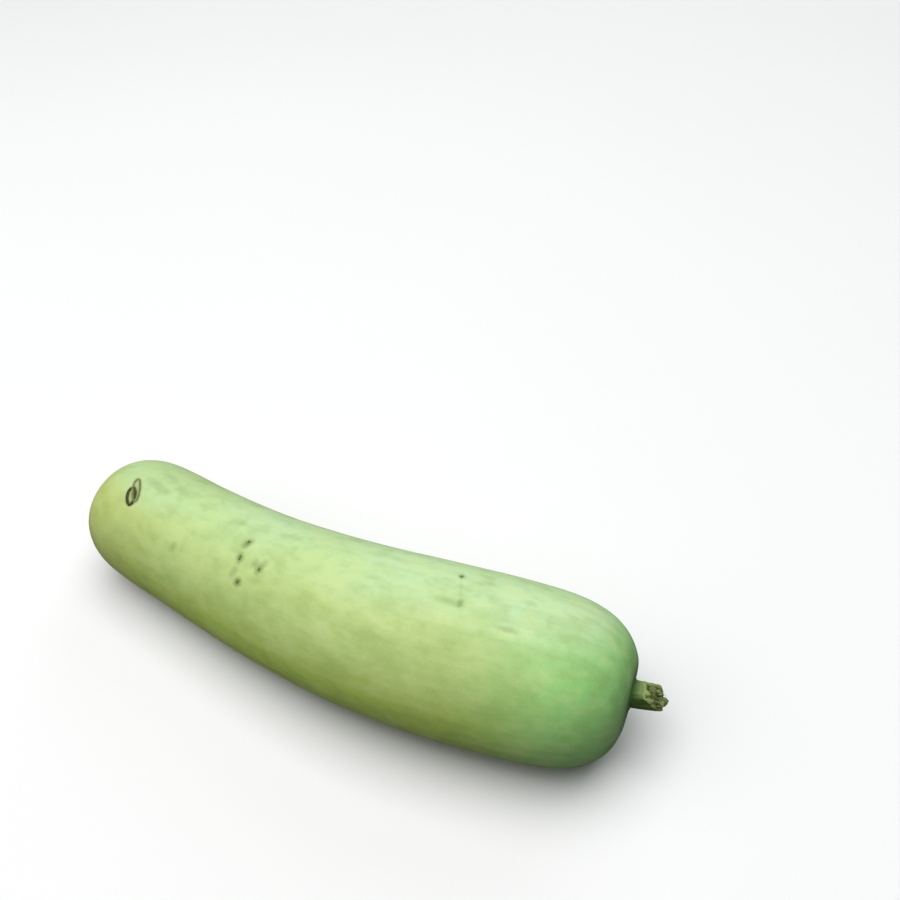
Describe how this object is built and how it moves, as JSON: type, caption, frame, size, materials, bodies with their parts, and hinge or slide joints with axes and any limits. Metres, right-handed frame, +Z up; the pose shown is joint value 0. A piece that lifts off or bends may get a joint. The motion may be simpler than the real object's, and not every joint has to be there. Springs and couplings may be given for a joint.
{
  "type": "bottle gourd",
  "caption": "Long pale green bottle gourd lying on its side: a slightly bent, blunt-ended fruit that widens towards the end with its short cut stem.",
  "frame": {"origin": "bottom centre of the whole gourd's box, on the surface it lies on", "axes": "+X along the fruit from the blossom end to the stem, +Z up; the fruit bows towards -Y"},
  "size_m": [0.351, 0.1016, 0.0916],
  "materials": {
    "skin": "pale yellow-green waxy fruit skin, soft satin, mottled",
    "stem": "fresh green ridged stem, dry brown fibres at the cut end"
  },
  "bodies": {
    "root": {"fruit": "skin", "stem": "stem"}
  },
  "joints": []
}
